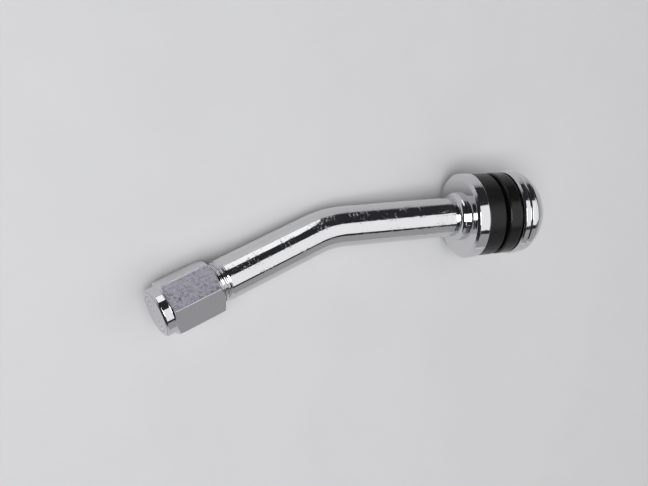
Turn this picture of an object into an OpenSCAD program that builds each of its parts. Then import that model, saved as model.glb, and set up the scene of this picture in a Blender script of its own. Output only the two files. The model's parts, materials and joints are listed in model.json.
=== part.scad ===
// Bent clamp-in tyre valve with a hexagonal dust cap, lying on a flat surface.
// Lengths are in millimetres. The origin is on the axis of the stem's base, where the outer rubber meets the rim.
// The clamp nut points towards +X. The valve lies as it comes to rest: on the flange's rim, the bend and the cap.

/* [Stem] */
// Outside diameter of the tube
stem_d = 7.9; // [7.8:0.1:8.6]
// Diameter of the tube's passage
passage_d = 3.4; // [2.4:0.1:4]
// Angle of the bend
bend_angle = 21.3; // [12:0.1:40]
// Radius of the bend on the tube's centre line
bend_r = 19; // [14:0.5:26]
// From the flange's face to the corner of the two centre lines
base_len = 28.1; // [22:0.1:40]
// From the corner of the two centre lines to the stem's mouth
neck_len = 34.2; // [33:0.1:45]
// Diameter of the collar that the flange sits against
collar_d = 9.8; // [9:0.1:12]
// Length of the collar
collar_len = 1.4; // [1.2:0.1:3]
// Diameter of the thread for the dust cap
cap_thread_d = 7.75; // [7.4:0.05:7.75]
// Length of the thread for the dust cap
cap_thread_len = 10.8; // [9:0.1:14]
// Chamfer round the stem's mouth
mouth_chamfer = 0.4; // [0.2:0.05:0.6]
// Diameter of the threaded tail behind the flange
tail_d = 7.8; // [7:0.1:8.4]
// Length of the tail that the clamp nut grips
tail_grip = 3.8; // [2.5:0.1:4.2]

/* [Clamp stack] */
// Outside diameter of the flange and of the clamp washer
plate_d = 17.2; // [15:0.1:20]
// Thickness of the flange
flange_t = 2.65; // [1.5:0.05:4]
// Bevel round the flange's front edge
flange_bevel = 0.5; // [0.2:0.05:0.9]
// How far the two rubbers stay inside the plates' edge
rubber_inset = 0.25; // [0.05:0.05:0.6]
// Thickness of the outer rubber
outer_rubber_t = 3.85; // [2:0.05:6]
// Diameter of the hole in the rim
rim_hole_d = 11.3; // [10:0.1:12.5]
// Gap left for the rim between the rubbers
rim_gap = 0.8; // [0.4:0.05:6]
// Thickness of the inner rubber
inner_rubber_t = 3.2; // [2:0.05:5]
// Rounding of the rubbers' edges
rubber_round = 0.4; // [0.2:0.05:0.8]
// Rounding of the inner rubber's edge next to the clamp washer
rubber_shoulder = 0.9; // [0.4:0.05:1.4]
// Thickness of the clamp washer
washer_t = 1.55; // [1:0.05:3]
// Bevel on the edges of the clamp washer and the nut
plate_bevel = 0.3; // [0.1:0.05:0.4]

/* [Clamp nut] */
// How far the domed nut stays inside the plates' edge
nut_inset = 0.2; // [0.05:0.05:0.6]
// Height of the domed nut
nut_h = 6.3; // [5.6:0.1:8]
// Height of the nut's plain side below the dome
nut_side = 1.3; // [0.8:0.1:2]
// Width of the tool slot across the nut's end
slot_w = 1.8; // [1:0.1:3]
// Depth of the tool slot across the nut's end
slot_depth = 0.9; // [0.4:0.1:1.2]
// Diameter of the air hole through the nut's end
air_hole_d = 3.4; // [2:0.1:4]

/* [Dust cap] */
// Size of the cap across its flats
cap_af = 9.3; // [9.1:0.1:11]
// Whole length of the cap
cap_len = 11.5; // [9:0.1:12]
// Diameter of the round nose
nose_d = 9; // [8.6:0.1:9]
// Length of the round nose
nose_len = 1.75; // [1:0.05:2.2]
// Bevel round the nose's end
nose_bevel = 0.35; // [0.1:0.05:0.6]
// Thickness of the cap's closed end
cap_roof = 1.65; // [1:0.05:2.5]
// Thickness of the rubber disc in the cap
gasket_t = 1.2; // [0.8:0.1:1.6]

/* [Valve core] */
// Diameter of the core's threaded plug
plug_d = 5.1; // [4.9:0.05:5.3]
// Depth of the plug's lugs below the stem's mouth
plug_depth = 0.7; // [0.5:0.1:1.2]
// Height of the plug's two tool lugs
lug_h = 0.8; // [0.5:0.1:1.2]
// Length of the plug's threaded ring
plug_len = 3; // [2.5:0.1:4]
// Outside diameter of the barrel below the plug
barrel_d = 3.8; // [3.6:0.05:3.9]
// Length of the barrel
barrel_len = 6; // [5.5:0.1:7]
// Thickness of the barrel's end with the spring's seat
barrel_end = 1; // [0.7:0.1:1.2]
// Length of the cone that the barrel's seal sits on
seat_len = 0.8; // [0.6:0.1:1.2]
// Diameter of the chamber that the barrel hangs in
chamber_d = 4.3; // [4.1:0.05:4.5]
// Diameter of the pin
pin_d = 1.1; // [0.9:0.05:1.2]
// Depth of the pin's tip below the stem's mouth
pin_depth = 0.3; // [0.1:0.1:0.6]
// How far the pin can be pressed
pin_travel = 1.5; // [1:0.1:1.6]
// Wire diameter of the spring
wire_d = 0.35; // [0.25:0.05:0.4]
// Turns in the spring
spring_turns = 5; // [4:1:6]

/* [Hidden] */
$fn = 96;
fit_gap = 0.05;
lap = 1;
bend_swell = 0.02;
bend_lap = 0.4;
hex_turn = 30;
chamfer_angle = 30;
chamfer_inset = 0.1;
tail_room = 0.3;
rubber_d = plate_d - 2 * rubber_inset;
nut_d = plate_d - 2 * nut_inset;

// Places along the base axis, from the rim's seat at zero
flange_back_x = -outer_rubber_t;
flange_face_x = flange_back_x - flange_t;
corner_x = flange_face_x - base_len;
bend_tangent = bend_r * tan(bend_angle / 2);
bend_start_x = corner_x + bend_tangent;
washer_x = rim_gap + inner_rubber_t;
nut_x = washer_x + washer_t;
tail_end_x = nut_x + tail_grip;

// Places along the cap's axis, from the corner of the two centre lines
thread_start = neck_len - cap_thread_len;
cap_face = neck_len + gasket_t + cap_roof;
cap_mouth = cap_face - cap_len;
hex_end = cap_face - nose_len;
hex_len = hex_end - cap_mouth;

// Depths inwards from the stem's mouth
ring_depth = plug_depth + lug_h;
barrel_depth = ring_depth + plug_len;
seat_depth = barrel_depth;
chamber_depth = seat_depth + seat_len;
spring_seat_depth = barrel_depth + barrel_len - barrel_end;
barrel_end_depth = barrel_depth + barrel_len;

// The core's smaller pieces, sized from the pin, the barrel and the chamber
barrel_wall = 0.5;
barrel_bore = barrel_d - 2 * barrel_wall;
plug_air_gap = 0.55;
plug_bore = pin_d + 2 * plug_air_gap;
pin_play = 0.3;
tip_step = 0.2;
tip_d = pin_d + 2 * tip_step;
tip_len = 0.6;
lug_w = 1.9;
lug_inset = 0.3;
guide_h = 0.6;
guide_play = 0.2;
guide_depth = barrel_depth + 2 * guide_play;
guide_d = barrel_bore - 2 * guide_play;
spring_inset = 0.05;
spring_mean_d = guide_d - wire_d - 2 * spring_inset;
spring_top_depth = guide_depth + guide_h;
seal_inset = 0.3;
seal_d = barrel_d - 2 * seal_inset;
seal_t = 0.6;
cup_inset = 0.1;
cup_d = barrel_d - 2 * cup_inset;
cup_lip = 0.3;
cup_len = 1.4;
cup_depth = barrel_end_depth + seal_t - cup_lip;
pin_tail = 0.8;
pin_end_depth = cup_depth + cup_len + pin_tail;
chamber_end_depth = pin_end_depth + 2 * pin_travel;

// The cap's hexagon and its chamfers, which a shallow ball turns at each end
corner_r = cap_af / sqrt(3);
end_r = cap_af / 2 - chamfer_inset;
chamfer_h = (corner_r - end_r) * tan(chamfer_angle);
ball_z = (pow(corner_r, 2) - pow(end_r, 2) + pow(chamfer_h, 2)) / (2 * chamfer_h);
ball_r = norm([end_r, ball_z]);

// The lying pose: the flange's front rim, the underside of the bend and one corner of the cap touch the surface
rest_roll = -36.0037;
rest_pitch = -9.4153;

// Rolls the valve about its base axis and then pitches it, from its modelled frame into its lying pose
module lie_down() {
    rotate([rest_roll, rest_pitch, 0])
        children();
}

// Stands children with their Z along the base axis, from the given place
module on_base(x) {
    lie_down()
        translate([x, 0, 0])
            rotate([0, 90, 0])
                children();
}

// Stands children with their Z outwards along the cap's axis, from the given distance past the corner
module on_neck(s) {
    lie_down()
        translate([corner_x, 0, 0])
            rotate([0, 0, bend_angle])
                rotate([0, -90, 0])
                    translate([0, 0, s])
                        children();
}

// Stands children with their Z inwards from the stem's mouth, from the given depth
module in_mouth(depth) {
    on_neck(neck_len - depth)
        rotate([180, 0, 0])
            children();
}

// A ring or tube with its base at zero
module ring(outer_d, inner_d, h) {
    difference() {
        cylinder(d = outer_d, h = h);
        translate([0, 0, -lap])
            cylinder(d = inner_d, h = h + 2 * lap);
    }
}

// What a rounding takes off the upper outer corner of a profile, with that corner at the origin
module corner_round(r) {
    difference() {
        translate([-r, -r])
            square(r + lap);
        translate([-r, -r])
            circle(r = r);
    }
}

// A round plate with bevelled outer edges, lower and upper
module bevelled_plate(outer_d, inner_d, h, low_bevel, high_bevel) {
    outer_r = outer_d / 2;
    rotate_extrude()
        polygon([
            [inner_d / 2, 0],
            [outer_r - low_bevel, 0],
            [outer_r, low_bevel],
            [outer_r, h - high_bevel],
            [outer_r - high_bevel, h],
            [inner_d / 2, h]
        ]);
}

// A round rubber with rounded outer edges, lower and upper
module rounded_plate(outer_d, inner_d, h, low_round, high_round) {
    rotate_extrude()
        difference() {
            translate([inner_d / 2, 0])
                square([(outer_d - inner_d) / 2, h]);
            translate([outer_d / 2, h])
                corner_round(high_round);
            translate([outer_d / 2, 0])
                mirror([0, 1])
                    corner_round(low_round);
        }
}

// The quarter-round collar in front of the flange
module collar() {
    collar_round = (collar_d - stem_d) / 2;
    rotate_extrude()
        difference() {
            square([collar_d / 2, collar_len]);
            translate([collar_d / 2, collar_len])
                corner_round(collar_round);
        }
}

// The bent part of the tube or of its passage, a hair fuller than the straight runs that end inside it
module bend(d) {
    lie_down()
        translate([bend_start_x, -bend_r, 0])
            rotate([0, 0, 90])
                rotate_extrude(angle = bend_angle)
                    translate([bend_r, 0])
                        circle(d = d + bend_swell);
}

module stem_outside() {
    on_base(bend_start_x - bend_lap)
        cylinder(d = stem_d, h = flange_face_x - bend_start_x + bend_lap);
    on_base(flange_face_x)
        mirror([0, 0, 1])
            collar();
    on_base(flange_face_x - lap)
        cylinder(d = tail_d, h = tail_end_x - flange_face_x + lap);
    bend(stem_d);
    on_neck(bend_tangent - bend_lap)
        cylinder(d = stem_d, h = thread_start - bend_tangent + bend_lap);
    on_neck(thread_start - lap)
        rotate_extrude()
            polygon([
                [0, 0],
                [cap_thread_d / 2, 0],
                [cap_thread_d / 2, cap_thread_len + lap - mouth_chamfer],
                [cap_thread_d / 2 - mouth_chamfer, cap_thread_len + lap],
                [0, cap_thread_len + lap]
            ]);
}

module stem_passage() {
    plug_hole_d = plug_d + 2 * fit_gap;
    on_base(bend_start_x - bend_lap)
        cylinder(d = passage_d, h = tail_end_x - bend_start_x + bend_lap + lap);
    bend(passage_d);
    on_neck(bend_tangent - bend_lap)
        cylinder(d = passage_d, h = neck_len - chamber_end_depth - bend_tangent + bend_lap);
    in_mouth(-lap)
        rotate_extrude()
            polygon([
                [0, 0],
                [plug_hole_d / 2, 0],
                [plug_hole_d / 2, seat_depth + lap],
                [chamber_d / 2, chamber_depth + lap],
                [chamber_d / 2, chamber_end_depth + 2 * lap],
                [0, chamber_end_depth + 2 * lap]
            ]);
}

module stem() {
    color("silver")
        difference() {
            stem_outside();
            stem_passage();
        }
}

module flange_washer() {
    color("silver")
        on_base(flange_face_x)
            bevelled_plate(plate_d, tail_d + 2 * fit_gap, flange_t, flange_bevel, plate_bevel);
}

module outer_rubber() {
    color("#1c1c1e")
        on_base(flange_back_x) {
            rounded_plate(rubber_d, tail_d + 2 * fit_gap, outer_rubber_t, rubber_round, rubber_round);
            translate([0, 0, outer_rubber_t])
                ring(rim_hole_d - 2 * fit_gap, tail_d + 2 * fit_gap, rim_gap);
        }
}

module inner_rubber() {
    color("#1c1c1e")
        on_base(rim_gap)
            rounded_plate(rubber_d, tail_d + 2 * fit_gap, inner_rubber_t, rubber_round, rubber_shoulder);
}

module clamp_washer() {
    color("silver")
        on_base(washer_x)
            bevelled_plate(plate_d, tail_d + 2 * fit_gap, washer_t, plate_bevel, plate_bevel);
}

// The domed nut is a low ball cap on a short plain side, with an air hole and a tool slot in its end
module dome_nut() {
    dome_h = nut_h - nut_side;
    dome_r = (pow(nut_d / 2, 2) + pow(dome_h, 2)) / (2 * dome_h);
    grip_depth = tail_grip + tail_room;
    color("silver")
        on_base(nut_x)
            difference() {
                rotate_extrude()
                    intersection() {
                        polygon([
                            [0, 0],
                            [nut_d / 2 - plate_bevel, 0],
                            [nut_d / 2, plate_bevel],
                            [nut_d / 2, nut_h],
                            [0, nut_h]
                        ]);
                        translate([0, nut_h - dome_r])
                            circle(r = dome_r);
                    }
                translate([0, 0, -lap])
                    cylinder(d = tail_d + 2 * fit_gap, h = grip_depth + lap);
                cylinder(d = air_hole_d, h = nut_h + lap);
                translate([-nut_d / 2, -slot_w / 2, nut_h - slot_depth])
                    cube([nut_d, slot_w, slot_depth + lap]);
            }
}

// The cap's hexagon with a chamfer at both ends, as on a turned hexagon bar
module chamfered_hexagon() {
    intersection() {
        rotate([0, 0, hex_turn])
            cylinder(r = corner_r, h = hex_len, $fn = 6);
        translate([0, 0, ball_z])
            sphere(r = ball_r);
        translate([0, 0, hex_len - ball_z])
            sphere(r = ball_r);
    }
}

module dust_cap() {
    bore_d = cap_thread_d + 2 * fit_gap;
    color("silver")
        on_neck(cap_mouth)
            difference() {
                union() {
                    chamfered_hexagon();
                    translate([0, 0, hex_len - lap])
                        bevelled_plate(nose_d, 0, nose_len + lap, 0, nose_bevel);
                }
                translate([0, 0, -lap])
                    cylinder(d = bore_d, h = cap_len - cap_roof + lap);
            }
}

module cap_gasket() {
    color("dimgray")
        on_neck(neck_len)
            cylinder(d = cap_thread_d, h = gasket_t);
}

// The plug is a threaded ring with two lugs that a core tool grips
module core_plug() {
    color("goldenrod")
        in_mouth(plug_depth)
            difference() {
                union() {
                    translate([0, 0, lug_h])
                        cylinder(d = plug_d, h = plug_len);
                    intersection() {
                        cylinder(d = plug_d - 2 * lug_inset, h = lug_h + lap);
                        translate([-plug_d / 2, -lug_w / 2, 0])
                            cube([plug_d, lug_w, lug_h + lap]);
                    }
                }
                translate([0, 0, -lap])
                    cylinder(d = plug_bore, h = lug_h + plug_len + 2 * lap);
            }
}

module core_barrel() {
    color("goldenrod")
        in_mouth(barrel_depth)
            difference() {
                cylinder(d = barrel_d, h = barrel_len);
                translate([0, 0, -lap])
                    cylinder(d = barrel_bore, h = barrel_len - barrel_end + lap);
                cylinder(d = pin_d + 2 * pin_play, h = barrel_len + lap);
            }
}

module core_barrel_seal() {
    top_r = plug_d / 2;
    low_r = chamber_d / 2 - fit_gap;
    color("#202022")
        in_mouth(seat_depth)
            rotate_extrude()
                polygon([[barrel_d / 2, 0], [top_r, 0], [low_r, seat_len], [barrel_d / 2, seat_len]]);
}

module core_pin() {
    color("gold")
        in_mouth(pin_depth) {
            cylinder(d = pin_d, h = pin_end_depth - pin_depth);
            cylinder(d = tip_d, h = tip_len);
        }
}

module core_spring_guide() {
    color("gold")
        in_mouth(guide_depth)
            ring(guide_d, pin_d, guide_h);
}

// A round wire swept along a helix, closed at both ends
module coil(mean_d, wire, length, turns) {
    sides = 8;
    rings_per_turn = 16;
    last = turns * rings_per_turn;
    rise = length - wire;
    points = [
        for (i = [0 : last])
            let (a = 360 * i / rings_per_turn, z = wire / 2 + rise * i / last)
                for (k = [0 : sides - 1])
                    let (b = 360 * k / sides, r = mean_d / 2 + wire / 2 * cos(b))
                        [r * cos(a), r * sin(a), z + wire / 2 * sin(b)]
    ];
    skin = [
        for (i = [0 : last - 1])
            for (k = [0 : sides - 1])
                let (n = (k + 1) % sides)
                    [i * sides + k, i * sides + n, (i + 1) * sides + n, (i + 1) * sides + k]
    ];
    first_end = [for (k = [0 : sides - 1]) sides - 1 - k];
    last_end = [for (k = [0 : sides - 1]) last * sides + k];
    polyhedron(points, concat([first_end], skin, [last_end]));
}

module core_spring() {
    color("lightgray")
        in_mouth(spring_top_depth)
            coil(spring_mean_d, wire_d, spring_seat_depth - spring_top_depth, spring_turns);
}

// The cup holds the seat's seal against the barrel's end
module core_cup() {
    color("goldenrod")
        in_mouth(cup_depth)
            difference() {
                ring(cup_d, pin_d, cup_len);
                translate([0, 0, -lap])
                    cylinder(d = seal_d, h = cup_lip + lap);
            }
}

module core_seat_seal() {
    color("#202022")
        in_mouth(barrel_end_depth)
            ring(seal_d, pin_d, seal_t);
}

stem();
flange_washer();
outer_rubber();
inner_rubber();
clamp_washer();
dome_nut();
dust_cap();
cap_gasket();
core_plug();
core_barrel();
core_barrel_seal();
core_pin();
core_spring_guide();
core_spring();
core_cup();
core_seat_seal();
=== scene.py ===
"""Bent chromed tyre valve lying on a pale floor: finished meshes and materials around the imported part."""
import json
import math

import bmesh
import bpy
import numpy as np
from mathutils import Matrix, Quaternion, Vector


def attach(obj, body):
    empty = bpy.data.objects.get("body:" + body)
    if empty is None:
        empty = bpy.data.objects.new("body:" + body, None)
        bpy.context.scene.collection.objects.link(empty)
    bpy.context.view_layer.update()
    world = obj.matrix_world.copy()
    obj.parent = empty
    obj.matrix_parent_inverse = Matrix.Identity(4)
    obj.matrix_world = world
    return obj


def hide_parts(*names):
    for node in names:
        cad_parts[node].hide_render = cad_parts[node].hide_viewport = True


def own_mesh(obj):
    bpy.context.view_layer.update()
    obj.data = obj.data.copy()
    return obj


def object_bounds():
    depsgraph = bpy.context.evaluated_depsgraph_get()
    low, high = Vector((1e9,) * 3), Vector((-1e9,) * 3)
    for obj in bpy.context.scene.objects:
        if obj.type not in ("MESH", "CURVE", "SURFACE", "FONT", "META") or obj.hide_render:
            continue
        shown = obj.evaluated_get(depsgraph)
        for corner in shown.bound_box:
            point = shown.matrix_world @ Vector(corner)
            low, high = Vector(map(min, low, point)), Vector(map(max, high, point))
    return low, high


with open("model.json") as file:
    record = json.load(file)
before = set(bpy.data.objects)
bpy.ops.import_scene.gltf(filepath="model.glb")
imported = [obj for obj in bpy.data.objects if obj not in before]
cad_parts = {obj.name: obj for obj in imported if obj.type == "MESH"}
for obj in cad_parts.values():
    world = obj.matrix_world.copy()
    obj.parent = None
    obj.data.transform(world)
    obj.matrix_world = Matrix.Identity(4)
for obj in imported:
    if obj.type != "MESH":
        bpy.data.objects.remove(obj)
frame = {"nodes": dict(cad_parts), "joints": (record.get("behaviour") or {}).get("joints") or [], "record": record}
cad_low, cad_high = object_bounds()

# Sizes are in millimetres and the same as the solids', up to the heading on small roundings
MM = 0.001

# The stem
STEM_R = 3.95
PASSAGE_R = 1.7
BEND_R = 19.0
BASE_LEN = 28.1
NECK_LEN = 34.2
COLLAR_R = 4.9
COLLAR_LEN = 1.4
CAP_THREAD_R = 3.875
CAP_THREAD_LEN = 10.8
MOUTH_CHAMFER = 0.4
TAIL_R = 3.9
TAIL_GRIP = 3.8
PLUG_R = 2.55
PLUG_SEAT_DEPTH = 4.5
SEAT_LEN = 0.8
CHAMBER_R = 2.15
CHAMBER_END = 16.0
FIT_GAP = 0.05

# The plates and the rubbers
PLATE_R = 8.6
FLANGE_T = 2.65
FLANGE_BEVEL = 0.5
RUBBER_R = 8.35
OUTER_RUBBER_T = 3.85
SPIGOT_R = 5.6
RIM_GAP = 0.8
INNER_RUBBER_T = 3.2
RUBBER_ROUND = 0.4
RUBBER_SHOULDER = 0.9
WASHER_T = 1.55
PLATE_BEVEL = 0.3

# The nut
NUT_R = 8.4
NUT_H = 6.3
NUT_SIDE = 1.3
SLOT_W = 1.8
SLOT_DEPTH = 0.9
AIR_HOLE_R = 1.7
TAIL_ROOM = 0.3

# The cap
CAP_AF = 9.3
CAP_LEN = 11.5
NOSE_R = 4.5
NOSE_LEN = 1.75
NOSE_BEVEL = 0.35
CAP_ROOF = 1.65
GASKET_T = 1.2
CHAMFER_INSET = 0.1
CHAMFER_SLOPE = math.tan(math.radians(30))

# The core's spring, with its two ends as depths from the stem's mouth
SPRING_TOP = 5.5
SPRING_SEAT = 9.5
SPRING_R = 0.975
SPRING_TURNS = 5
WIRE_R = 0.175

# Small roundings, chamfers and undercuts that the finished meshes have
BORE_ROUND = 0.05
FACE_ROUND = 0.08
RIM_ROUND = 0.12
FLANGE_RIM_ROUND = 0.2
FLANGE_BACK_ROUND = 0.15
RUBBER_EDGE = 0.1
UNDERCUT_DEPTH = 0.7
UNDERCUT_H = 0.12
UNDERCUT_ROUND = 0.04
HOLE_EASE = 0.25
TAIL_LEAD = 0.5
TAIL_EASE = 0.1
TAIL_CHAMFER = 0.2
BORE_CHAMFER = 0.15
SHOULDER_LEN = 0.2
CORNER_ROUND = 0.32
CHAMFER_BLEND = 0.06
CAP_MOUTH_BEVEL = 0.3
NOSE_ROUND = 0.15
NOSE_FACE_ROUND = 0.1

# The threads: pitches, depth as a share of the pitch, and crest and flank as shares of half a pitch
CAP_THREAD_PITCH = 0.794
TAIL_PITCH = 1.0
THREAD_DEPTH = 0.6
CREST_SHARE = 0.14
FLANK_SHARE = 0.72

# How close the rings and points of the meshes lie
SEGMENTS = 144
SUPPORT = 0.03
EDGE_STEP = 0.02
EDGE_SUPPORT = 0.1
FOOT_SUPPORT = 0.12
FOOT_CLEAR = 0.4
SHOULDER_CLEAR = 0.25
TAIL_STEP = 0.08
CAP_THREAD_STEP = 0.06
COLLAR_STEPS = 14
FOOT_RINGS = 5
BASE_RINGS = 24
BEND_RINGS = 40
NECK_RINGS = 20
SHOULDER_STEPS = 5
PASSAGE_BEND_RINGS = 16
DOME_POINTS = 48
POINTS_PER_FLAT = 44
CORNER_CROWDING = 1.6
CHAMFER_MARGIN = 0.15
CHAMFER_RINGS = 22
END_ZONE = 1.4
END_ZONE_RINGS = 8
FLAT_RINGS = 10
WIRE_SIDES = 12
RINGS_PER_TURN = 28

# Places along the base axis from the rim's seat, and along the neck from the corner of the two centre lines
FLANGE_FACE_X = -OUTER_RUBBER_T - FLANGE_T
CORNER_X = FLANGE_FACE_X - BASE_LEN
WASHER_X = RIM_GAP + INNER_RUBBER_T
NUT_X = WASHER_X + WASHER_T
TAIL_END_X = NUT_X + TAIL_GRIP
THREAD_START = NECK_LEN - CAP_THREAD_LEN
CAP_FACE = NECK_LEN + GASKET_T + CAP_ROOF
CAP_MOUTH = CAP_FACE - CAP_LEN
HEX_LEN = CAP_LEN - NOSE_LEN

# The valve's own axes in the lying frame, read from the record
mounts = {mount["name"]: mount for mount in frame["record"]["mounts"]}
joints = {joint["name"]: joint for joint in frame["joints"]}
base_axis = Vector(mounts["rim_hole"]["axis"])
flat_up = Vector(mounts["cap_spanner_flat"]["axis"])
neck_axis = Vector(joints["cap_turn"]["axis"])
BEND = math.acos(-base_axis.dot(neck_axis))
ROW_FROM_VALVE = Matrix((base_axis, flat_up.cross(base_axis), flat_up)).transposed().to_4x4()

TANGENT = BEND_R * math.tan(BEND / 2)
BEND_START_X = CORNER_X + TANGENT
ANGLES = np.arange(SEGMENTS) * 2 * math.pi / SEGMENTS
UP = np.array((0.0, 0.0, 1.0))
TO_CAP = np.array((-1.0, 0.0, 0.0))
NECK_DIR = np.array((-math.cos(BEND), -math.sin(BEND), 0.0))
CORNER = np.array((CORNER_X, 0.0, 0.0))


# Meshes

def ring_points(centre, along, radii, angles=ANGLES):
    """A ring of points round a centre, its zero angle up, turning right-handed about the direction along."""
    side = np.cross(along, UP)
    radii = np.broadcast_to(radii, angles.shape)[:, None]
    return centre + radii * (np.cos(angles)[:, None] * UP + np.sin(angles)[:, None] * side)


def base_ring(x, radii):
    """A ring square to the base axis, at a place along it."""
    return ring_points(np.array((x, 0, 0)), TO_CAP, radii)


def bend_ring(angle, radius):
    """A ring on the bend, at an angle from the end of the straight base."""
    centre = np.array((BEND_START_X - BEND_R * math.sin(angle), BEND_R * (math.cos(angle) - 1), 0))
    return ring_points(centre, np.array((-math.cos(angle), -math.sin(angle), 0)), radius)


def neck_ring(along, radii):
    """A ring square to the neck, at a distance from the corner of the centre lines."""
    return ring_points(CORNER + along * NECK_DIR, NECK_DIR, radii)


def grid_faces(rows, columns, closed):
    """Quads between successive rings, joining the last ring to the first when closed."""
    faces = []
    for row in range(rows if closed else rows - 1):
        here = row * columns
        there = (row + 1) % rows * columns
        for k in range(columns):
            n = (k + 1) % columns
            faces.append((here + k, here + n, there + n, there + k))
    return faces


def make_piece(name, points, faces):
    """A smooth mesh object from points in millimetres in the valve's own frame."""
    mesh = bpy.data.meshes.new(name)
    mesh.from_pydata((np.asarray(points) * MM).tolist(), [], faces)
    mesh.transform(ROW_FROM_VALVE)
    solid = bmesh.new()
    solid.from_mesh(mesh)
    bmesh.ops.recalc_face_normals(solid, faces=solid.faces)
    solid.to_mesh(mesh)
    solid.free()
    mesh.shade_smooth()
    piece = bpy.data.objects.new(name, mesh)
    bpy.context.scene.collection.objects.link(piece)
    return piece


def rings_piece(name, rings, closed=True):
    """A piece from a list of rings; unless closed, its first and last ring are filled to a centre point."""
    columns = len(rings[0])
    points = np.concatenate(rings)
    faces = grid_faces(len(rings), columns, closed)
    if not closed:
        ends = ((0, rings[0]), ((len(rings) - 1) * columns, rings[-1]))
        for start, ring in ends:
            centre = len(points)
            points = np.vstack((points, ring.mean(0)))
            faces += [(start + k, start + (k + 1) % columns, centre) for k in range(columns)]
    return make_piece(name, points, faces)


def rounded_loop(corners, steps=6):
    """A closed profile from (radius, height, rounding) corners, with a support point beside each rounding."""
    loop = []
    for i, (radius, height, rounding) in enumerate(corners):
        here = np.array((radius, height))
        if not rounding:
            loop.append(here)
            continue
        back = np.array(corners[i - 1][:2]) - here
        ahead = np.array(corners[(i + 1) % len(corners)][:2]) - here
        back /= np.linalg.norm(back)
        ahead /= np.linalg.norm(ahead)
        half = math.acos(np.clip(back @ ahead, -1, 1)) / 2
        reach = rounding / math.tan(half)
        middle = here + (back + ahead) / np.linalg.norm(back + ahead) * rounding / math.sin(half)
        first = here + back * reach - middle
        last = here + ahead * reach - middle
        turn = math.pi - 2 * half
        loop.append(here + back * (reach + SUPPORT))
        for t in np.linspace(0, 1, steps + 1):
            spoke = math.sin((1 - t) * turn) * first + math.sin(t * turn) * last
            loop.append(middle + spoke / math.sin(turn))
        loop.append(here + ahead * (reach + SUPPORT))
    return loop


def revolve_on_base(name, loop, base_x):
    """Turns a closed (radius, height) profile about the base axis, its height running towards the nut."""
    return rings_piece(name, [base_ring(base_x + z, r) for r, z in loop])


def arc_points(centre, radius, start, end, count):
    """Points of an arc in a (radius, height) profile, its angles in radians from the radius axis."""
    return [(centre[0] + radius * math.cos(a), centre[1] + radius * math.sin(a))
            for a in np.linspace(start, end, count)]


def thread_radii(crest_r, pitch, place, strength):
    """Radii of one ring of a right-handed thread, at a place along its axis and at part of its full depth."""
    depth = THREAD_DEPTH * pitch
    flank = np.abs(2 * ((place / pitch - ANGLES / (2 * math.pi)) % 1.0) - 1)
    cut = np.clip((flank - CREST_SHARE) / FLANK_SHARE, 0, 1)
    return crest_r - depth * strength * cut


def tail_rings():
    """The tail's thread from its end to where it runs out, and the plain tail up to the flange's face."""
    rings = [base_ring(TAIL_END_X, TAIL_R - TAIL_LEAD - TAIL_EASE)]
    thread_end = -RIM_GAP
    for place in np.arange(-TAIL_END_X + EDGE_STEP, thread_end, TAIL_STEP):
        strength = min(1.0, (thread_end - place) / TAIL_PITCH)
        lead = min(TAIL_R, TAIL_R - TAIL_LEAD + place + TAIL_END_X)
        radii = thread_radii(TAIL_R, TAIL_PITCH, place, strength)
        rings.append(base_ring(-place, np.minimum(radii, lead)))
    rings.append(base_ring(RIM_GAP - TAIL_EASE, TAIL_R))
    rings.append(base_ring(FLANGE_FACE_X, TAIL_R))
    return rings


def base_rings():
    """The collar against the flange, and the straight base up to the bend."""
    collar_round = COLLAR_R - STEM_R
    round_x = FLANGE_FACE_X - (COLLAR_LEN - collar_round)
    foot_x = FLANGE_FACE_X - COLLAR_LEN
    rings = [base_ring(FLANGE_FACE_X, COLLAR_R), base_ring(FLANGE_FACE_X - SUPPORT, COLLAR_R)]
    for turn in np.linspace(0, math.pi / 2, COLLAR_STEPS):
        x = round_x - collar_round * math.sin(turn)
        rings.append(base_ring(x, STEM_R + collar_round * math.cos(turn)))
    for share in np.linspace(0, 1, FOOT_RINGS)[1:]:
        rings.append(base_ring(foot_x - FOOT_SUPPORT * share, STEM_R))
    for x in np.linspace(foot_x - FOOT_CLEAR, BEND_START_X, BASE_RINGS):
        rings.append(base_ring(x, STEM_R))
    return rings


def neck_rings():
    """The neck from the bend to its shoulder, and the cap's thread up to the mouth."""
    shoulder = STEM_R - CAP_THREAD_R
    rings = [neck_ring(s, STEM_R) for s in np.linspace(TANGENT, THREAD_START - SHOULDER_CLEAR, NECK_RINGS)]
    for turn in np.linspace(0, math.pi / 2, SHOULDER_STEPS):
        place = THREAD_START - SHOULDER_LEN + SHOULDER_LEN * math.sin(turn)
        rings.append(neck_ring(place, CAP_THREAD_R + shoulder * math.cos(turn)))
    for place in np.arange(THREAD_START + SUPPORT, NECK_LEN, CAP_THREAD_STEP):
        strength = min(1.0, (place - THREAD_START) / CAP_THREAD_PITCH)
        lead = CAP_THREAD_R - MOUTH_CHAMFER + NECK_LEN - place
        radii = thread_radii(CAP_THREAD_R, CAP_THREAD_PITCH, place, strength)
        rings.append(neck_ring(place, np.minimum(radii, lead)))
    rings.append(neck_ring(NECK_LEN, CAP_THREAD_R - MOUTH_CHAMFER - EDGE_STEP))
    return rings


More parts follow.
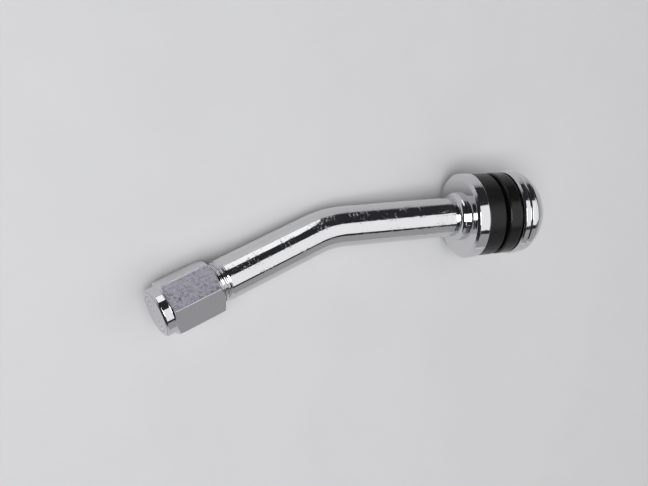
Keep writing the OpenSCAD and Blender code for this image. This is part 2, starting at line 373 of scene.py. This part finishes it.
def passage_rings():
    """The core's stepped bore from the mouth inwards, and the passage through bend and base to the tail."""
    bore = PLUG_R + FIT_GAP
    depths = (
        (0, bore + BORE_CHAMFER),
        (BORE_CHAMFER, bore),
        (PLUG_SEAT_DEPTH, bore),
        (PLUG_SEAT_DEPTH + SEAT_LEN, CHAMBER_R),
        (CHAMBER_END, CHAMBER_R),
        (CHAMBER_END, PASSAGE_R),
        (NECK_LEN - TANGENT, PASSAGE_R),
    )
    rings = [neck_ring(NECK_LEN - depth, radius) for depth, radius in depths]
    rings += [bend_ring(angle, PASSAGE_R) for angle in np.linspace(BEND, 0, PASSAGE_BEND_RINGS)[1:]]
    rings.append(base_ring(TAIL_END_X - TAIL_CHAMFER, PASSAGE_R))
    rings.append(base_ring(TAIL_END_X, PASSAGE_R + TAIL_CHAMFER))
    return rings


def make_stem():
    """The bent tube with its collar, its two threads and its stepped passage, as one closed skin."""
    bend_rings = [bend_ring(angle, STEM_R) for angle in np.linspace(0, BEND, BEND_RINGS)[1:-1]]
    return rings_piece("stem_tube", tail_rings() + base_rings() + bend_rings + neck_rings() + passage_rings())


def make_flange():
    """The round plate against the collar."""
    bore = TAIL_R + FIT_GAP
    loop = rounded_loop([
        (bore, 0, BORE_ROUND),
        (PLATE_R - FLANGE_BEVEL, 0, RIM_ROUND),
        (PLATE_R, FLANGE_BEVEL, FLANGE_RIM_ROUND),
        (PLATE_R, FLANGE_T, FLANGE_BACK_ROUND),
        (bore, FLANGE_T, BORE_ROUND),
    ])
    return revolve_on_base("flange_plate", loop, FLANGE_FACE_X)


def make_outer_rubber():
    """The thick rubber outside the rim, with a spigot that sits in the rim's hole."""
    bore = TAIL_R + FIT_GAP
    loop = rounded_loop([
        (bore, 0, RUBBER_EDGE),
        (RUBBER_R, 0, RUBBER_ROUND),
        (RUBBER_R, OUTER_RUBBER_T, RUBBER_ROUND),
        (SPIGOT_R, OUTER_RUBBER_T, RUBBER_EDGE),
        (SPIGOT_R, OUTER_RUBBER_T + RIM_GAP, RUBBER_EDGE),
        (bore, OUTER_RUBBER_T + RIM_GAP, RUBBER_EDGE),
    ])
    return revolve_on_base("outer_rubber_seal", loop, -OUTER_RUBBER_T)


def make_inner_rubber():
    """The thinner rubber inside the rim, with a round shoulder towards the washer."""
    bore = TAIL_R + FIT_GAP
    loop = rounded_loop([
        (bore, 0, RUBBER_EDGE),
        (RUBBER_R, 0, RUBBER_ROUND),
        (RUBBER_R, INNER_RUBBER_T, RUBBER_SHOULDER),
        (bore, INNER_RUBBER_T, RUBBER_EDGE),
    ], steps=10)
    return revolve_on_base("inner_rubber_seal", loop, RIM_GAP)


def make_clamp_washer():
    """The bevelled plate between the inner rubber and the nut."""
    bore = TAIL_R + FIT_GAP
    loop = rounded_loop([
        (bore, 0, BORE_ROUND),
        (PLATE_R - PLATE_BEVEL, 0, FACE_ROUND),
        (PLATE_R, PLATE_BEVEL, RIM_ROUND),
        (PLATE_R, WASHER_T - PLATE_BEVEL, RIM_ROUND),
        (PLATE_R - PLATE_BEVEL, WASHER_T, FACE_ROUND),
        (bore, WASHER_T, BORE_ROUND),
    ])
    return revolve_on_base("clamp_plate", loop, WASHER_X)


def nut_profile():
    """The nut's section: its bore, a thin undercut below its edge, its side, its dome and its air hole."""
    bore = TAIL_R + FIT_GAP
    dome_h = NUT_H - NUT_SIDE
    dome_r = (NUT_R ** 2 + dome_h ** 2) / (2 * dome_h)
    middle = (0, NUT_H - dome_r)
    first = math.atan2(NUT_SIDE - middle[1], NUT_R)
    last = math.acos((AIR_HOLE_R + HOLE_EASE) / dome_r)
    dome = arc_points(middle, dome_r, first, last, DOME_POINTS)
    grip = TAIL_GRIP + TAIL_ROOM
    loop = rounded_loop([
        (bore, 0, BORE_ROUND),
        (NUT_R - UNDERCUT_DEPTH, 0, 0),
        (NUT_R - UNDERCUT_DEPTH, UNDERCUT_H, 0),
        (NUT_R - PLATE_BEVEL / 2, UNDERCUT_H, UNDERCUT_ROUND),
        (NUT_R, PLATE_BEVEL, FACE_ROUND),
        (NUT_R, NUT_SIDE, RIM_ROUND),
    ])
    # The rounding at the top of the side takes the place of the dome's first two points
    loop += [np.array(point) for point in dome[2:]]
    hole_top = dome[-1][1] - HOLE_EASE
    return loop + rounded_loop([(AIR_HOLE_R, hole_top, 0), (AIR_HOLE_R, grip, 0), (bore, grip, 0)])


def slot_cutter():
    """A box that cuts the tool slot across the nut's end, one millimetre taller than it needs to be."""
    corners = [(NUT_X + NUT_H + x, y, z) for x in (-SLOT_DEPTH, 1) for y in (-SLOT_W / 2, SLOT_W / 2)
               for z in (-NUT_R, NUT_R)]
    sides = [(0, 1, 3, 2), (4, 6, 7, 5), (0, 4, 5, 1), (2, 3, 7, 6), (0, 2, 6, 4), (1, 5, 7, 3)]
    return make_piece("slot_cutter", corners, sides)


def make_dome_nut():
    """The domed nut, with its tool slot cut across the end."""
    sharp_edge = math.radians(35)
    nut = revolve_on_base("domed_nut", nut_profile(), NUT_X)
    cutter = slot_cutter()
    cut = nut.modifiers.new("slot", "BOOLEAN")
    cut.object = cutter
    cut.operation = "DIFFERENCE"
    cut.solver = "EXACT"
    bpy.context.view_layer.update()
    slotted = bpy.data.meshes.new_from_object(nut.evaluated_get(bpy.context.evaluated_depsgraph_get()))
    nut.modifiers.clear()
    nut.data = slotted
    slotted.name = "domed_nut"
    bpy.data.objects.remove(cutter)
    slotted.shade_smooth()
    slotted.set_sharp_from_angle(angle=sharp_edge)
    return nut


def soft_least(a, b, width):
    """The smaller of two values, rounded off over a width where they cross."""
    blend = np.clip(0.5 + 0.5 * (b - a) / width, 0, 1)
    return b * (1 - blend) + a * blend - width * blend * (1 - blend)


def hexagon_angles():
    """Angles round the cap, zero in the middle of a flat and closer together towards the corners."""
    from_flat = np.linspace(-1, 1, POINTS_PER_FLAT, endpoint=False)
    spread = np.sign(from_flat) * (1 - (1 - np.abs(from_flat)) ** CORNER_CROWDING)
    return np.concatenate([math.radians(60 * k) + math.radians(30) * spread for k in range(6)])


def hexagon_radii(angles):
    """The radius of the hexagon at each angle, with its corners rounded."""
    near = (angles + math.pi / 6) % (math.pi / 3) - math.pi / 6
    flat_r = CAP_AF / 2 / np.cos(near)
    inset = (CAP_AF / 2 - CORNER_ROUND) / math.cos(math.pi / 6)
    off = math.pi / 6 - np.abs(near)
    tangent_off = math.atan2(CORNER_ROUND / 2, inset + CORNER_ROUND * math.cos(math.pi / 6))
    inside = np.maximum(CORNER_ROUND ** 2 - (inset * np.sin(off)) ** 2, 0)
    round_r = inset * np.cos(off) + np.sqrt(inside)
    return np.where(off < tangent_off, round_r, flat_r)


CAP_ANGLES = hexagon_angles()


def cap_ring(z, radii):
    """A ring of the cap, at a height from its mouth."""
    return ring_points(CORNER + (CAP_MOUTH + z) * NECK_DIR, NECK_DIR, radii, CAP_ANGLES)


def cap_bore_rings():
    """The cap's plain bore, from near the middle of its roof to the bevel at its mouth."""
    near_middle = 0.4
    half_way = 2.0
    lip_r = 0.05
    lip_h = 0.04
    bore = CAP_THREAD_R + FIT_GAP
    roof = CAP_LEN - CAP_ROOF
    profile = (
        (near_middle, roof),
        (half_way, roof),
        (bore - EDGE_SUPPORT, roof),
        (bore, roof),
        (bore, roof - EDGE_SUPPORT),
        (bore, CAP_MOUTH_BEVEL + EDGE_SUPPORT),
        (bore + EDGE_STEP, CAP_MOUTH_BEVEL),
        (bore + CAP_MOUTH_BEVEL - lip_r, lip_h),
        (bore + CAP_MOUTH_BEVEL, 0),
    )
    return [cap_ring(z, radius) for radius, z in profile]


def cap_hexagon_rings():
    """The hexagon, its corners cut back at both ends by a ball, so that each flat ends in an arc."""
    hex_r = hexagon_radii(CAP_ANGLES)
    end_r = CAP_AF / 2 - CHAMFER_INSET
    corner_r = CAP_AF / math.sqrt(3)
    chamfer_h = (corner_r - end_r) * CHAMFER_SLOPE
    ball_z = (corner_r ** 2 - end_r ** 2 + chamfer_h ** 2) / (2 * chamfer_h)
    ball_r = math.hypot(end_r, ball_z)
    chamfer_end = chamfer_h + CHAMFER_MARGIN
    on_chamfer = np.linspace(0, chamfer_end, CHAMFER_RINGS)
    beside_chamfer = np.linspace(chamfer_end, END_ZONE, END_ZONE_RINGS)[1:]
    ends = np.concatenate([on_chamfer, beside_chamfer])
    middle = np.linspace(END_ZONE, HEX_LEN - END_ZONE, FLAT_RINGS)[1:-1]
    rings = []
    for z in np.concatenate([ends, middle, (HEX_LEN - ends)[::-1]]):
        nearest_end = min(z, HEX_LEN - z)
        cut_r = math.sqrt(ball_r ** 2 - (ball_z - nearest_end) ** 2)
        rings.append(cap_ring(z, soft_least(hex_r, cut_r, CHAMFER_BLEND)))
    return rings


def cap_nose_rings():
    """The round nose with its bevel, up to near the middle of its flat face."""
    near_middle = 0.3
    profile = rounded_loop([
        (near_middle, HEX_LEN, 0),
        (NOSE_R, HEX_LEN + EDGE_SUPPORT, 0),
        (NOSE_R, CAP_LEN - NOSE_BEVEL, NOSE_ROUND),
        (NOSE_R - NOSE_BEVEL, CAP_LEN, NOSE_FACE_ROUND),
        (near_middle, CAP_LEN, 0),
    ])
    rings = [cap_ring(HEX_LEN, NOSE_R + EDGE_STEP), cap_ring(HEX_LEN + EDGE_STEP, NOSE_R)]
    return rings + [cap_ring(z, radius) for radius, z in profile[1:]]


def make_dust_cap():
    """The hexagonal cap with a round nose and a plain bore."""
    return rings_piece("hex_cap", cap_bore_rings() + cap_hexagon_rings() + cap_nose_rings(), closed=False)


def make_core_spring():
    """The core's spring: a round wire along a helix from the pin's guide to its seat in the barrel."""
    inwards = -NECK_DIR
    side = np.cross(inwards, UP)
    around = np.linspace(0, 2 * math.pi, WIRE_SIDES, endpoint=False)
    rise = SPRING_SEAT - SPRING_TOP - 2 * WIRE_R
    rings = []
    for t in np.linspace(0, 1, RINGS_PER_TURN * SPRING_TURNS + 1):
        turn = 2 * math.pi * SPRING_TURNS * t
        spoke = math.cos(turn) * UP + math.sin(turn) * side
        centre = CORNER + (NECK_LEN - SPRING_TOP - WIRE_R - rise * t) * NECK_DIR
        rings.append(centre + np.outer(SPRING_R + WIRE_R * np.cos(around), spoke)
                     + np.outer(WIRE_R * np.sin(around), inwards))
    return rings_piece("core_coil", rings, closed=False)


# Materials

# The turning rings on the cap's nose, in millimetres: their spacing, and the heights where they fade in
RING_SPACING = 0.9
RINGS_BELOW_FACE = (-0.12, -0.04)

# Noise scales are in waves per metre and bump heights in metres
NOISE_SPAN = (0.3, 0.7)
IN_MILLIMETRES = (1 / MM, 1 / MM, 1 / MM)
SCUFF_STRETCH = (3200, 3200, 140)
SCUFFED = (0.47, 0.45, 0.56)
PIT_TONE = (0.25, 0.24, 0.23)
PIT_ROUGHNESS = 0.35
PIT_DEPTH = 0.00002
PIT_FLOOR = 0.6
CELLS_WITHOUT_PIT = 0.72
CHROME_HAZE = 0.035
CLOUD_TONE = 0.92
BROAD_PEEL = 2.5
GRAIN_PEEL = 3.5
CAP_PEEL = 0.000004
RING_DEPTH = 0.000012
RUBBER_GRAIN = 0.00002
RUBBER_SPECULAR = 0.3
METAL_GRAIN = 0.000006

# The mix node's sockets when it mixes colours
MIX_FACTOR = 0
MIX_FIRST = 6
MIX_SECOND = 7
MIX_RESULT = 2


def new_material(name):
    """A node material, with its tree, its shader and the place on the object."""
    material = bpy.data.materials.new(name)
    material.use_nodes = True
    tree = material.node_tree
    shader = tree.nodes["Principled BSDF"]
    place = tree.nodes.new("ShaderNodeTexCoord")
    return material, tree, shader, place.outputs["Object"]


def noise(tree, place, scale, detail, roughness=0.55):
    """Noise between zero and one."""
    node = tree.nodes.new("ShaderNodeTexNoise")
    node.inputs["Scale"].default_value = scale
    node.inputs["Detail"].default_value = detail
    node.inputs["Roughness"].default_value = roughness
    tree.links.new(place, node.inputs["Vector"])
    return node.outputs["Fac"]


def remap(tree, value, source, target):
    """Carries a value from one (low, high) range to another, and holds it at the ends."""
    node = tree.nodes.new("ShaderNodeMapRange")
    node.inputs["From Min"].default_value, node.inputs["From Max"].default_value = source
    node.inputs["To Min"].default_value, node.inputs["To Max"].default_value = target
    tree.links.new(value, node.inputs["Value"])
    return node.outputs["Result"]


def colour_between(tree, value, first, second):
    """The first colour where the value is zero, and the second where it is one."""
    node = tree.nodes.new("ShaderNodeMix")
    node.data_type = "RGBA"
    node.inputs[MIX_FIRST].default_value = (*first, 1)
    node.inputs[MIX_SECOND].default_value = (*second, 1)
    tree.links.new(value, node.inputs[MIX_FACTOR])
    return node.outputs[MIX_RESULT]


def colour_product(tree, first, second):
    """Two colours multiplied."""
    node = tree.nodes.new("ShaderNodeMix")
    node.data_type = "RGBA"
    node.blend_type = "MULTIPLY"
    node.inputs[MIX_FACTOR].default_value = 1
    tree.links.new(first, node.inputs[MIX_FIRST])
    tree.links.new(second, node.inputs[MIX_SECOND])
    return node.outputs[MIX_RESULT]


def maths(tree, operation, a, b=0):
    """A maths node on sockets or plain numbers."""
    node = tree.nodes.new("ShaderNodeMath")
    node.operation = operation
    for socket, value in zip(node.inputs, (a, b)):
        if isinstance(value, (int, float)):
            socket.default_value = value
        else:
            tree.links.new(value, socket)
    return node.outputs[0]


def bump(tree, height, distance, strength=1.0, before=None):
    """A bump of the height, on top of the one before it where there is one."""
    node = tree.nodes.new("ShaderNodeBump")
    node.inputs["Strength"].default_value = strength
    node.inputs["Distance"].default_value = distance
    tree.links.new(height, node.inputs["Height"])
    if before is not None:
        tree.links.new(before, node.inputs["Normal"])
    return node.outputs["Normal"]


def pits(tree, place, scale, size):
    """One where a sparse pit lies and zero elsewhere."""
    cells = tree.nodes.new("ShaderNodeTexVoronoi")
    cells.inputs["Scale"].default_value = scale
    tree.links.new(place, cells.inputs["Vector"])
    picked = tree.nodes.new("ShaderNodeSeparateColor")
    tree.links.new(cells.outputs["Color"], picked.inputs["Color"])
    few = maths(tree, "GREATER_THAN", picked.outputs["Red"], CELLS_WITHOUT_PIT)
    near = remap(tree, cells.outputs["Distance"], (size * PIT_FLOOR, size), (1, 0))
    return maths(tree, "MULTIPLY", few, near)


def chrome_skin(tree, place, peel, pit):
    """The plating's relief: a fine and a broad orange peel, patches of raised grains, and the pits."""
    skin = bump(tree, noise(tree, place, scale=620, detail=2), peel)
    skin = bump(tree, noise(tree, place, scale=150, detail=2), BROAD_PEEL * peel, before=skin)
    grains = remap(tree, noise(tree, place, scale=2300, detail=2), (0.56, 0.74), (0, 1))
    patches = remap(tree, noise(tree, place, scale=210, detail=3), (0.42, 0.6), (0.1, 1))
    skin = bump(tree, maths(tree, "MULTIPLY", grains, patches), GRAIN_PEEL * peel, before=skin)
    return bump(tree, pit, -PIT_DEPTH, before=skin)


def chrome_material(name, tint, peel, wear):
    """Plated chrome with a faint orange peel, haze that varies over the surface and a few pits."""
    material, tree, shader, place = new_material(name)
    cloud = noise(tree, place, scale=180, detail=4)
    pit = pits(tree, place, scale=330, size=0.06)
    clean = colour_between(tree, cloud, tuple(c * CLOUD_TONE for c in tint), tint)
    dark = colour_between(tree, pit, (1, 1, 1), PIT_TONE)
    tree.links.new(colour_product(tree, clean, dark), shader.inputs["Base Color"])
    shader.inputs["Metallic"].default_value = 1
    smears = noise(tree, place, scale=420, detail=5, roughness=0.65)
    haze = remap(tree, smears, (0.35, 0.75), (CHROME_HAZE, CHROME_HAZE + wear))
    rough_pit = maths(tree, "MULTIPLY", pit, PIT_ROUGHNESS)
    tree.links.new(maths(tree, "ADD", haze, rough_pit), shader.inputs["Roughness"])
    tree.links.new(chrome_skin(tree, place, peel, pit), shader.inputs["Normal"])
    return material


def cap_place(tree, place, stretch):
    """Places from the middle of the cap's end face, with X out of its upper flat and Z along its axis."""
    across = neck_axis.cross(flat_up)
    turn = Matrix((flat_up, across, neck_axis))
    face = ROW_FROM_VALVE @ Vector(CORNER + CAP_FACE * NECK_DIR) * MM
    node = tree.nodes.new("ShaderNodeMapping")
    node.inputs["Rotation"].default_value = turn.to_euler()
    node.inputs["Location"].default_value = -(turn @ face)
    tree.links.new(place, node.inputs["Vector"])
    scaled = tree.nodes.new("ShaderNodeVectorMath")
    scaled.operation = "MULTIPLY"
    scaled.inputs[1].default_value = stretch
    tree.links.new(node.outputs["Vector"], scaled.inputs[0])
    return scaled.outputs["Vector"]


def cap_millimetres(tree, place):
    """The X, Y and Z of a place in the cap's own frame, in millimetres."""
    parts = tree.nodes.new("ShaderNodeSeparateXYZ")
    tree.links.new(cap_place(tree, place, IN_MILLIMETRES), parts.inputs["Vector"])
    return parts.outputs["X"], parts.outputs["Y"], parts.outputs["Z"]


def turning_rings(tree, place):
    """Fine rings on the nose's flat face, and zero everywhere else on the cap."""
    x, y, z = cap_millimetres(tree, place)
    square_x = maths(tree, "MULTIPLY", x, x)
    square_y = maths(tree, "MULTIPLY", y, y)
    radius = maths(tree, "SQRT", maths(tree, "ADD", square_x, square_y))
    wave = maths(tree, "SINE", maths(tree, "MULTIPLY", radius, 2 * math.pi / RING_SPACING))
    return maths(tree, "MULTIPLY", wave, remap(tree, z, RINGS_BELOW_FACE, (0, 1)))


def upper_flat(tree, place):
    """One on the hexagon's upper flat, and zero on the rest of the cap."""
    x, _, z = cap_millimetres(tree, place)
    flat_x = CAP_AF / 2
    fade_start = 0.2
    fade_end = 0.05
    nose_fade = 0.3
    inside = remap(tree, x, (flat_x - fade_start, flat_x - fade_end), (0, 1))
    on_hexagon = remap(tree, z, (-NOSE_LEN - nose_fade, -NOSE_LEN), (1, 0))
    return maths(tree, "MULTIPLY", inside, on_hexagon)


def cap_material(name, tint):
    """Chrome with a scuffed, mottled upper flat, and with turning rings on the nose's face whose troughs are
    darkened with painted shade.
    """
    material, tree, shader, place = new_material(name)
    cloud = noise(tree, place, scale=1700, detail=5, roughness=0.7)
    lines = noise(tree, cap_place(tree, place, SCUFF_STRETCH), scale=1, detail=2, roughness=0.5)
    on_flat = upper_flat(tree, place)
    mottle = remap(tree, cloud, (0.33, 0.64), (0.3, 1))
    scratches = remap(tree, lines, (0.3, 0.6), (0.7, 1))
    dull = maths(tree, "MULTIPLY", maths(tree, "MULTIPLY", mottle, scratches), on_flat)
    rings = turning_rings(tree, place)
    # Painted shade: the base colour is darkened to half in the troughs of the turning rings, where the ring bump
    # is low.
    tone = tree.nodes.new("ShaderNodeVectorMath")
    tone.operation = "SCALE"
    tree.links.new(colour_between(tree, dull, tint, SCUFFED), tone.inputs[0])
    tree.links.new(remap(tree, rings, (-1, 0), (0.5, 1)), tone.inputs["Scale"])
    tree.links.new(tone.outputs["Vector"], shader.inputs["Base Color"])
    tree.links.new(remap(tree, dull, (0, 1), (1, 0.5)), shader.inputs["Metallic"])
    tree.links.new(remap(tree, dull, (0, 1), (0.05, 0.4)), shader.inputs["Roughness"])
    skin = bump(tree, noise(tree, place, scale=620, detail=2), CAP_PEEL)
    skin = bump(tree, maths(tree, "MULTIPLY", lines, on_flat), CAP_PEEL, before=skin)
    skin = bump(tree, rings, RING_DEPTH, before=skin)
    tree.links.new(skin, shader.inputs["Normal"])
    return material


def rubber_material(name, tone, roughness):
    """Moulded black rubber with a fine grain and a dusty mottle."""
    material, tree, shader, place = new_material(name)
    mottle = noise(tree, place, scale=260, detail=5, roughness=0.6)
    clean = (tone * 0.7, tone * 0.7, tone * 0.7)
    dusty = (tone * 1.5, tone * 1.5, tone * 1.6)
    tree.links.new(colour_between(tree, mottle, clean, dusty), shader.inputs["Base Color"])
    smears = noise(tree, place, scale=900, detail=4)
    fine = remap(tree, smears, NOISE_SPAN, (roughness - 0.07, roughness + 0.1))
    tree.links.new(fine, shader.inputs["Roughness"])
    grain = noise(tree, place, scale=2600, detail=3)
    tree.links.new(bump(tree, grain, RUBBER_GRAIN, strength=0.6), shader.inputs["Normal"])
    shader.inputs["Specular IOR Level"].default_value = RUBBER_SPECULAR
    return material


def metal_material(name, first, second, roughness):
    """Plain turned or drawn metal with fine variation."""
    material, tree, shader, place = new_material(name)
    cloud = noise(tree, place, scale=500, detail=4)
    tree.links.new(colour_between(tree, cloud, first, second), shader.inputs["Base Color"])
    shader.inputs["Metallic"].default_value = 1
    smears = noise(tree, place, scale=1500, detail=4)
    fine = remap(tree, smears, NOISE_SPAN, (roughness - 0.06, roughness + 0.1))
    tree.links.new(fine, shader.inputs["Roughness"])
    grain = noise(tree, place, scale=3000, detail=2)
    tree.links.new(bump(tree, grain, METAL_GRAIN, strength=0.6), shader.inputs["Normal"])
    return material


def floor_material():
    """Pale, slightly mottled floor."""
    material, tree, shader, place = new_material("pale_floor")
    cloud = noise(tree, place, scale=60, detail=4)
    colour = colour_between(tree, cloud, (0.60, 0.60, 0.61), (0.64, 0.64, 0.65))
    tree.links.new(colour, shader.inputs["Base Color"])
    shader.inputs["Roughness"].default_value = 0.55
    return material


# The finished pieces

CHROME = (0.70, 0.70, 0.715)
CAP_CHROME = (0.66, 0.655, 0.68)
stem_chrome = chrome_material("chrome_tube", CHROME, peel=0.000006, wear=0.04)
plate_chrome = chrome_material("chrome_plates", CHROME, peel=0.000003, wear=0.05)
cap_chrome = cap_material("chrome_hexagon", CAP_CHROME)
black_rubber = rubber_material("black_rubber", tone=0.006, roughness=0.34)
shiny_rubber = rubber_material("shiny_rubber", tone=0.006, roughness=0.2)
gasket_rubber = rubber_material("gasket_rubber", tone=0.03, roughness=0.6)
core_rubber = rubber_material("core_rubber", tone=0.03, roughness=0.5)
core_brass = metal_material("core_brass", (0.72, 0.52, 0.24), (0.82, 0.63, 0.33), roughness=0.25)
spring_wire = metal_material("spring_wire", (0.42, 0.42, 0.43), (0.55, 0.55, 0.57), roughness=0.28)

# What makes each piece, the node that it replaces, its body, its slot and its material
FINISHED = (
    (make_stem, "stem", "stem", "chrome_stem", stem_chrome),
    (make_flange, "flange_washer", "stem", "chrome_plate", plate_chrome),
    (make_outer_rubber, "outer_rubber", "stem", "rubber", black_rubber),
    (make_inner_rubber, "inner_rubber", "stem", "rubber", shiny_rubber),
    (make_clamp_washer, "clamp_washer", "clamp", "chrome_plate", plate_chrome),
    (make_dome_nut, "dome_nut", "nut", "chrome_nut", plate_chrome),
    (make_dust_cap, "dust_cap", "cap", "chrome_cap", cap_chrome),
    (make_core_spring, "core_spring", "stem", "spring_steel", spring_wire),
)
finished = {}
for make, node, body, slot, material in FINISHED:
    piece = make()
    piece.data.materials.clear()
    piece.data.materials.append(material)
    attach(piece, body)
    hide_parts(node)
    finished[node] = piece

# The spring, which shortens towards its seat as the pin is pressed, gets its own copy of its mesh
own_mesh(finished["core_spring"])

# The inner pieces keep their solids and get materials
KEPT = {
    "cap_gasket": gasket_rubber,
    "core_plug": core_brass,
    "core_barrel": core_brass,
    "core_barrel_seal": core_rubber,
    "core_pin": core_brass,
    "core_spring_guide": core_brass,
    "core_cup": core_brass,
    "core_seat_seal": core_rubber,
}
for node, material in KEPT.items():
    frame["nodes"][node].data.materials.clear()
    frame["nodes"][node].data.materials.append(material)


# Stage, light and camera, in metres

FLOOR_HALF = 0.45
CENTRE = (cad_low + cad_high) / 2

# The world's two tones, and where the dark one is reached: zero is the horizon and one is overhead
HORIZON = (0.46, 0.46, 0.465)
DARK_STUDIO = (0.03, 0.03, 0.034)
HAZE_TOP = 0.12


def make_floor():
    """A square of pale floor at the height of the valve's lowest point."""
    square = ((-1, -1), (1, -1), (1, 1), (-1, 1))
    mesh = bpy.data.meshes.new("floor")
    mesh.from_pydata([(x * FLOOR_HALF, y * FLOOR_HALF, cad_low.z) for x, y in square], [], [(0, 1, 2, 3)])
    floor = bpy.data.objects.new("floor", mesh)
    floor.data.materials.append(floor_material())
    bpy.context.scene.collection.objects.link(floor)


def soft_box(name, azimuth, elevation, distance, width, height, power, spin=0):
    """A rectangular lamp that faces the valve; azimuth zero is on the -Y side and grows towards +X."""
    a, e = math.radians(azimuth), math.radians(elevation)
    away = Vector((math.sin(a) * math.cos(e), -math.cos(a) * math.cos(e), math.sin(e)))
    lamp = bpy.data.lights.new(name, "AREA")
    lamp.shape = "RECTANGLE"
    lamp.size = width
    lamp.size_y = height
    lamp.energy = power
    holder = bpy.data.objects.new(name, lamp)
    holder.location = CENTRE + away * distance
    facing = away.to_track_quat("Z", "Y") @ Quaternion((0, 0, 1), math.radians(spin))
    holder.rotation_euler = facing.to_euler()
    bpy.context.scene.collection.objects.link(holder)


def make_world():
    """A dark studio, with a pale haze low at the horizon that carries the floor on beyond its edge."""
    world = bpy.data.worlds.new("studio")
    world.use_nodes = True
    tree = world.node_tree
    direction = tree.nodes.new("ShaderNodeTexCoord")
    parts = tree.nodes.new("ShaderNodeSeparateXYZ")
    tree.links.new(direction.outputs["Generated"], parts.inputs["Vector"])
    height = remap(tree, parts.outputs["Z"], (0, HAZE_TOP), (0, 1))
    colour = colour_between(tree, height, HORIZON, DARK_STUDIO)
    tree.links.new(colour, tree.nodes["Background"].inputs["Color"])
    bpy.context.scene.world = world


make_floor()
soft_box("window", azimuth=85.6, elevation=69.1, distance=0.5, width=0.75, height=0.5, power=1.3, spin=-64.5)
soft_box("side_panel", azimuth=17, elevation=22, distance=0.6, width=1.2, height=0.5, power=0.7)
soft_box("rear_panel", azimuth=183, elevation=16, distance=0.6, width=0.28, height=0.3, power=0.34)
soft_box("key", azimuth=-90, elevation=60, distance=0.7, width=0.4, height=0.4, power=3.8)
make_world()

# The photograph's view: heading, height and roll in degrees, and the place in the middle of the picture
CAMERA_HEADING = 114.287
CAMERA_HEIGHT = 59.645
CAMERA_ROLL = 109.9
CAMERA_RANGE = 0.1629
CAMERA_AIM = Vector((-0.031, -0.0047, -0.01306))
NEAR_CLIP = 0.005
FOCAL_PIXELS = 800
PHOTO_WIDTH = 648
SENSOR_MM = 36


def make_camera():
    """The camera at the photograph's place relative to the valve."""
    heading, height, roll = (math.radians(a) for a in (CAMERA_HEADING, CAMERA_HEIGHT, CAMERA_ROLL))
    ahead = Vector((math.sin(heading), math.cos(heading), 0))
    look = ahead * math.cos(height) - Vector((0, 0, math.sin(height)))
    level = Vector((math.cos(heading), -math.sin(heading), 0))
    upright = level.cross(look)
    right = math.cos(roll) * level + math.sin(roll) * upright
    upwards = math.cos(roll) * upright - math.sin(roll) * level
    lens = bpy.data.cameras.new("camera")
    lens.sensor_width = SENSOR_MM
    lens.lens = SENSOR_MM * FOCAL_PIXELS / PHOTO_WIDTH
    lens.clip_start = NEAR_CLIP
    camera = bpy.data.objects.new("camera", lens)
    turn = Matrix((right, upwards, -look)).transposed()
    camera.matrix_world = Matrix.Translation(CAMERA_AIM - look * CAMERA_RANGE) @ turn.to_4x4()
    bpy.context.scene.collection.objects.link(camera)
    bpy.context.scene.camera = camera


make_camera()
bpy.context.scene.view_settings.view_transform = "Standard"
